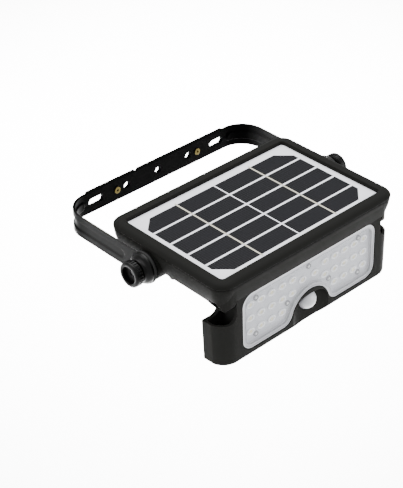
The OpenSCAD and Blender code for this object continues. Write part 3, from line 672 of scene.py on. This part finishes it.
def makeKnob(side, kit):
    r, a, b = knob["radius"], knob["in"], knob["out"]
    body = r - 0.45
    lip = [(b - 1.55 + 1.55 * math.sin(t), r - 1.3 + 1.3 * math.cos(t)) for t in
           [math.radians(15 * i) for i in range(7)]]
    cupEdge = [(b - 0.35 + 0.35 * math.cos(t), knob["cup"] + 0.4 - 0.4 * math.sin(t)) for t in
               [math.radians(22.5 * i) for i in range(1, 5)]]
    profile = [(a + 0.2, 4.2), (a, 6.4), (a + 0.5, 7.0), (a + 0.9, body - 0.2), (a + 1.3, body),
               (b - 2.0, body), (b - 1.9, r - 0.12), *lip, (b, r - 1.6), *cupEdge,
               (b - knob["cupDepth"], knob["cup"] - 0.1), (b - knob["cupDepth"], 4.2)]
    word = "Left" if side < 0 else "Right"
    wheel = turned("clampKnob" + word, profile, "knobPlastic", side)
    ribs = repeat("knobGrip" + word, kit, [(side * (a + 2.75), unit["axisY"], 0)],
                  {"Radius": (r - 0.35) * mm, "Rib Width": knob["ribWidth"], "Rib Height": knob["ribHeight"],
                   "Rib Length": knob["ribLength"], "Ribs": knob["ribs"]})
    return wheel, ribs


ribTree = ribKit()
for side, body, node in ((-1, "knob_left", "knob_left"), (1, "knob_right", "knob_right")):
    wheel, ribs = makeKnob(side, ribTree)
    place(wheel, body, "black_plastic", node)
    place(ribs, body, "black_plastic")
print("bracket and knobs made")


# ---- lamp head ----

head = {"hinge": (-130.8, -3.5), "lean": 2.5, "width": 152.2, "neck": 127.0, "front": -140.5, "thick": 16.7,
        "coverGap": 2.6, "top": -0.35, "shoulder": -15.5, "low": -45.0, "frontRadius": 12.0, "bulge": 0.4,
        "scoop": 6.0, "draft": 1.1, "lowEase": 2.2, "wall": 1.9}
lens = {"width": 116.8, "low": -40.35, "top": -0.95, "radius": 8.0, "front": -140.2, "thick": 1.5,
        "archRadius": 17.0, "archZ": -39.95, "footRadius": 8.0}
brow = {"half": 15.6, "rise": 13.7, "power": 2.6, "deep": 5.6, "fade": 3.8, "fadeLength": 18.7}
dome = {"y": -135.75, "z": -32.3, "radius": 6.65}
leaning = (Matrix.Translation(Vector((0, head["hinge"][0], head["hinge"][1])) * mm)
           @ Matrix.Rotation(math.radians(-head["lean"]), 4, "X")
           @ Matrix.Translation(Vector((0, -head["hinge"][0], -head["hinge"][1])) * mm))


def lean(piece):
    piece.data.transform(leaning)
    return piece


def lensOutline():
    half, low, high, r = lens["width"] / 2, lens["low"], lens["top"], lens["radius"]
    span, footZ = lens["archRadius"] + lens["footRadius"], low + lens["footRadius"]
    footX = math.sqrt(span ** 2 - (footZ - lens["archZ"]) ** 2)
    turn = math.degrees(math.atan2(footZ - lens["archZ"], footX))
    outline = arc((-footX, footZ), lens["footRadius"], 270, 360 - turn, 12)[:-1]
    outline += arc((0, lens["archZ"]), lens["archRadius"], 180 - turn, turn, 48)
    outline += arc((footX, footZ), lens["footRadius"], 180 + turn, 270, 12)[1:]
    right = [(footX + (half - r - footX) * i / 12, low) for i in range(1, 12)]
    right += arc((half - r, low + r), r, -90, 0, 16)
    right += [(half, low + r + (high - low - 2 * r) * i / 10) for i in range(1, 10)]
    right += arc((half - r, high - r), r, 0, 90, 16)
    top = [((half - r) * (1 - 2 * i / 50), high) for i in range(1, 50)]
    left = [(-x, z) for x, z in reversed(right)]
    return outline + right + top + left


def inward(outline, distance):  # the outline drawn in towards the lens by a distance
    moved = []
    count = len(outline)
    for i in range(count):
        (ax, az), (bx, bz) = outline[i - 1], outline[(i + 1) % count]
        dx, dz = bx - ax, bz - az
        size = math.hypot(dx, dz) or 1
        moved.append((outline[i][0] - dz / size * distance, outline[i][1] + dx / size * distance))
    return moved


def headPlan(inset, back):  # right half of the plan, from the middle of the front to the back
    half, big, ahead = head["width"] / 2 - inset, head["frontRadius"], head["front"] + head["frontRadius"]
    centre = head["width"] / 2 + head["bulge"] - big
    edge = math.degrees(math.acos((half - centre) / (big - inset)))
    plan = [(centre * 0.9, ahead - big + inset)] + arc((centre, ahead), big - inset, -90, -edge - 1.5, 22)
    crease = ahead - (big - inset) * math.sin(math.radians(edge))
    return plan + [(half - 0.04, crease - 0.15), (half, crease + 0.15), (half, crease + 0.8), (half, back)]


def backOutline(inset):  # the head seen from the front, with its shoulders scooped out
    half, neck, scoop = head["width"] / 2 - inset, head["neck"] / 2 - inset, head["scoop"]
    shoulder = head["shoulder"] - inset
    right = [(half, head["low"] + inset), (half, shoulder)]
    right += arc((neck + scoop, shoulder + scoop), scoop, 270, 180, 10) + [(neck, head["top"] - inset)]
    return right + [(-x, z) for x, z in reversed(right)]


def makeHead():
    back, low, ease = head["front"] + head["thick"], head["low"], head["lowEase"]
    rise = head["top"] - low
    levels = [(low + ease * (1 - math.cos(math.radians(a))), ease * 0.9 * (1 - math.sin(math.radians(a))))
              for a in range(0, 91, 10)]
    levels += [(low + rise * i / 12, 0.0) for i in range(1, 13)]
    loops = []
    for z, inset in levels:
        narrow = 1 - head["draft"] * (head["top"] - z) / rise / (head["width"] / 2)
        half = [(x * narrow, y, z) for x, y in headPlan(inset, back)]
        loops.append(half + [(-x, y, z) for x, y, z in reversed(half)])
    shell = build("lampShell", *skin(loops), "headPlastic")
    neck, scoop, shoulder = head["neck"] / 2, head["scoop"], head["shoulder"]
    cutters = []
    for side in (-1, 1):
        edge = [(side * neck, 5), (side * neck, shoulder + scoop)]
        edge += [(side * x, z) for x, z in arc((neck + scoop, shoulder + scoop), scoop, 186, 270, 14)]
        edge += [(side * 90, shoulder), (side * 90, 5)]
        cutters.append(prism("shoulderCut", edge, head["front"] - 2, back + 2))
        inner = [(x, y) for x, y in headPlan(head["wall"], back - 2.8) if x > neck - 2.5]
        inner = [(side * x, y) for x, y in inner + [(neck - 2.5, back - 2.8), (neck - 2.5, inner[0][1])]]
        cutters.append(prism("shoulderPocket", inner, -34, -9.8, "z"))
    cutters.append(prism("backRecess", backOutline(2.0), back - head["coverGap"], back + 1))
    cutters.append(prism("lensSeat", inward(lensOutline(), -0.15), head["front"] - 1, head["front"] + 3.5))
    carve(shell, cutters)
    carve(shell, [scoopTool(), domeSeat()])
    return shell


def scoopTool():  # the dished pocket under the brow
    front, floor = head["front"] - 1, head["low"] - 1
    loops = []
    for step in range(33):
        x = brow["half"] * math.sin(math.pi / 2 * (step / 16 - 1)) * 0.9995
        share = abs(x) / brow["half"]
        high = lens["archZ"] + brow["rise"] * (1 - share ** brow["power"]) ** (1 / brow["power"])
        heights = [high + (floor - high) * i / 14 for i in range(15)]
        hollow = max(0.03, 1 - share ** 3.2)
        crownZ = lens["archZ"] + brow["rise"]
        deep = []
        for z in heights:
            faded = min(1, (crownZ - z) / brow["fadeLength"])
            deep.append((x, head["front"] + (brow["deep"] - brow["fade"] * faded) * hollow, z))
        loops.append(deep + [(x, front, z) for z in reversed(heights)])
    return build("scoopTool", *skin(loops))


def domeSeat():
    circle = arc((0, dome["z"]), dome["radius"] + 0.05, 0, 352.5, 47)
    return prism("domeSeat", circle, dome["y"] - 3, dome["y"] + 1)


place(lean(makeHead()), "lamp", "black_plastic", "lamp_housing")
place(softened("lamp_back", 0.5, "headPlastic", "lampCover"), "lamp", "black_plastic", "lamp_back")


def makeLens():
    outline = lensOutline()
    front, back = lens["front"], lens["front"] + lens["thick"]
    steps = [(0.0, back), (0.0, front + 0.45), (0.12, front + 0.15), (0.38, front), (0.75, front + 0.05),
             (0.95, front + 0.4), (2.5, front + 0.4), (2.7, front + 0.15), (3.0, front + 0.02), (3.3, front)]
    loops = [[(x, y, z) for x, z in inward(outline, distance)] for distance, y in steps]
    piece = build("clearLens", *skin(loops), "lensClear")
    for finish in ("lensRim", "lensBead"):
        piece.data.materials.append(finishes[finish])
    # the outer rings take the painted edge highlight, the next ones the rim finish, the rest stays clear
    for number, face in enumerate(piece.data.polygons):
        if len(face.vertices) == 4:
            ring = number // len(outline)
            face.material_index = 2 if ring < 4 else 1 if ring < 7 else 0
    return piece


place(lean(makeLens()), "lamp", "lens_clear", "lens")

leds = {"x0": 14.28, "pitchX": 8.92, "z0": -10.96, "pitchZ": 9.55, "pair": (5.4, -15.0), "boardFront": -137.6}
ledSpots = [(side * (leds["x0"] + leds["pitchX"] * column), leds["z0"] - leds["pitchZ"] * row)
            for side in (-1, 1) for row in range(3) for column in range(1 if row == 2 else 0, 5)]
ledSpots += [(side * leds["pair"][0], leds["pair"][1]) for side in (-1, 1)]


def chipKit():  # a square package on the board
    kit = Kit("ledPackage", ["Width", "Height", "Depth"])
    block = kit.add("GeometryNodeMeshCube", None,
                    {"Size": kit.vector(kit.size["Width"], kit.size["Depth"], kit.size["Height"])})
    return kit.end(block, "packageWhite")


def discKit(name, sides, finish):  # a thin disc facing -Y
    kit = Kit(name, ["Radius", "Depth"])
    disc = kit.add("GeometryNodeMeshCylinder", None,
                   {"Vertices": sides, "Radius": kit.size["Radius"], "Depth": kit.size["Depth"]})
    turnedDisc = kit.add("GeometryNodeTransform", None, {"Geometry": disc, "Rotation": (math.pi / 2, 0, 0)})
    return kit.end(turnedDisc, finish)


def lensletKit():  # a near-white ring over each diode, a painted highlight on the rim of its small optic
    kit = Kit("lensletRings", ["Ring Radius", "Bead Radius", "Flatness"])
    ring = kit.add("GeometryNodeCurvePrimitiveCircle", None,
                   {"Resolution": 40, "Radius": kit.size["Ring Radius"]})
    bead = kit.add("GeometryNodeCurvePrimitiveCircle", None,
                   {"Resolution": 10, "Radius": kit.size["Bead Radius"]})
    tube = kit.add("GeometryNodeCurveToMesh", None, {"Curve": ring, "Profile Curve": bead})
    stood = kit.add("GeometryNodeTransform", None,
                    {"Geometry": tube, "Rotation": (math.pi / 2, 0, 0),
                     "Scale": kit.vector(1, kit.size["Flatness"], 1)})
    return kit.end(stood, "lensletRing")


def boardScrewKit():  # a pan head with a cross slot, facing -Y
    kit = Kit("boardScrews", ["Head Radius", "Head Height", "Slot Width"])
    cap = kit.add("GeometryNodeMeshCylinder", None,
                  {"Vertices": 32, "Radius": kit.size["Head Radius"], "Depth": kit.size["Head Height"]})
    barA = kit.add("GeometryNodeMeshCube", None, {"Size": kit.vector(
        kit.size["Head Radius"] * 1.2, kit.size["Slot Width"], kit.size["Head Height"])})
    barB = kit.add("GeometryNodeMeshCube", None, {"Size": kit.vector(
        kit.size["Slot Width"], kit.size["Head Radius"] * 1.2, kit.size["Head Height"])})
    cross = kit.add("GeometryNodeMeshBoolean", {"operation": "UNION"}, {"Mesh 2": barA})
    kit.tree.links.new(barB.socket, cross.socket.node.inputs["Mesh 2"])
    raised = kit.add("GeometryNodeTransform", None,
                     {"Geometry": cross, "Translation": kit.vector(0, 0, kit.size["Head Height"] * 0.55)})
    cut = kit.add("GeometryNodeMeshBoolean", {"operation": "DIFFERENCE"}, {"Mesh 1": cap, "Mesh 2": raised})
    stood = kit.add("GeometryNodeTransform", None, {"Geometry": cut, "Rotation": (math.pi / 2, 0, 0)})
    return kit.end(stood, "screwSteel")


boardY = leds["boardFront"]
place(repeat("ledPackages", chipKit(), [(x, boardY - 0.3, z) for x, z in ledSpots],
             {"Width": 0.0028, "Height": 0.0034, "Depth": 0.0007}, move=leaning),
      "lamp", "led_chip", "led_chips")
phosphorKit = discKit("ledPhosphor", 24, "phosphor")
place(repeat("ledPhosphors", phosphorKit, [(x, boardY - 0.64, z) for x, z in ledSpots],
             {"Radius": 0.00115, "Depth": 0.0001}, move=leaning), "lamp", "led_chip")
# the rings carry the painted highlight of each small optic
place(repeat("lensletRings", lensletKit(), [(x, boardY - 0.45, z) for x, z in ledSpots],
             {"Ring Radius": 0.0026, "Bead Radius": 0.00062, "Flatness": 0.7}, move=leaning),
      "lamp", "lens_clear")
screwSpots = [(0, -7.8)] + [(side * x, z) for x, z in ((45.2, -8.2), (18.5, -25.6), (45.5, -34))
                            for side in (1, -1)]
place(repeat("boardScrewHeads", boardScrewKit(), [(x, boardY - 0.35, z) for x, z in screwSpots],
             {"Head Radius": 0.0019, "Head Height": 0.0007, "Slot Width": 0.0005}, move=leaning),
      "lamp", "screw_steel", "led_board_screws")
centreKit = discKit("screwCentre", 20, "packageWhite")  # a pale disc on the middle of each screw head
place(repeat("boardScrewCentres", centreKit, [(x, boardY - 0.72, z) for x, z in screwSpots],
             {"Radius": 0.0008, "Depth": 0.0002}, move=leaning), "lamp", "screw_steel")


def makeDome():
    r, wall = dome["radius"], 0.8
    section = [(r * math.cos(math.radians(a)), -r * math.sin(math.radians(a))) for a in range(88, -1, -4)]
    section += [(r, 1.0), (r - wall, 1.0), (r - wall, 0.0)]
    section += [((r - wall) * math.cos(math.radians(a)), -(r - wall) * math.sin(math.radians(a)))
                for a in range(4, 89, 6)]
    loops = [[(rad * math.cos(math.tau * i / 72), dome["y"] + y, dome["z"] + rad * math.sin(math.tau * i / 72))
              for i in range(72)] for rad, y in section]
    return build("sensorLens", *skin(loops), "domeMilk")


place(lean(makeDome()), "lamp", "dome_white", "sensor_dome")
print("lamp head made")


# ---- finishes of the nodes that stay ----

kept = {
    "solar_backsheet": "sheetWhite", "solar_cells": "siliconDark", "cell_ribbons": "ribbonTin",
    "panel_gasket": "rubberBlack", "case_seal": "rubberBlack", "case_screws": "screwSteel",
    "battery_cell": "wrapBlue", "battery_holder": "chipBlack", "battery_cover_screws": "screwSteel",
    "control_board": "boardGreen", "board_parts": "chipBlack", "power_switch": "packageWhite",
    "pivot_bolt_left": "boltSteel", "pivot_bolt_right": "boltSteel", "friction_washers": "rubberBlack",
    "knob_insert_left": "screwBlack", "knob_insert_right": "screwBlack", "hinge_screws": "screwBlack",
    "lamp_back_screws": "screwSteel", "lens_gasket": "gasketWhite", "led_board": "boardWhite",
    "heat_spreader": "aluminiumPlate", "hinge_bushes": "bushNatural", "sensor_can": "boltSteel",
    "sensor_board": "boardGreen", "plate_rivets": "brassPlain",
}
for node, finish in kept.items():
    mesh = cadNodes[node].data
    mesh.materials.clear()
    mesh.materials.append(finishes[finish])
print("kept nodes painted:", len(kept))
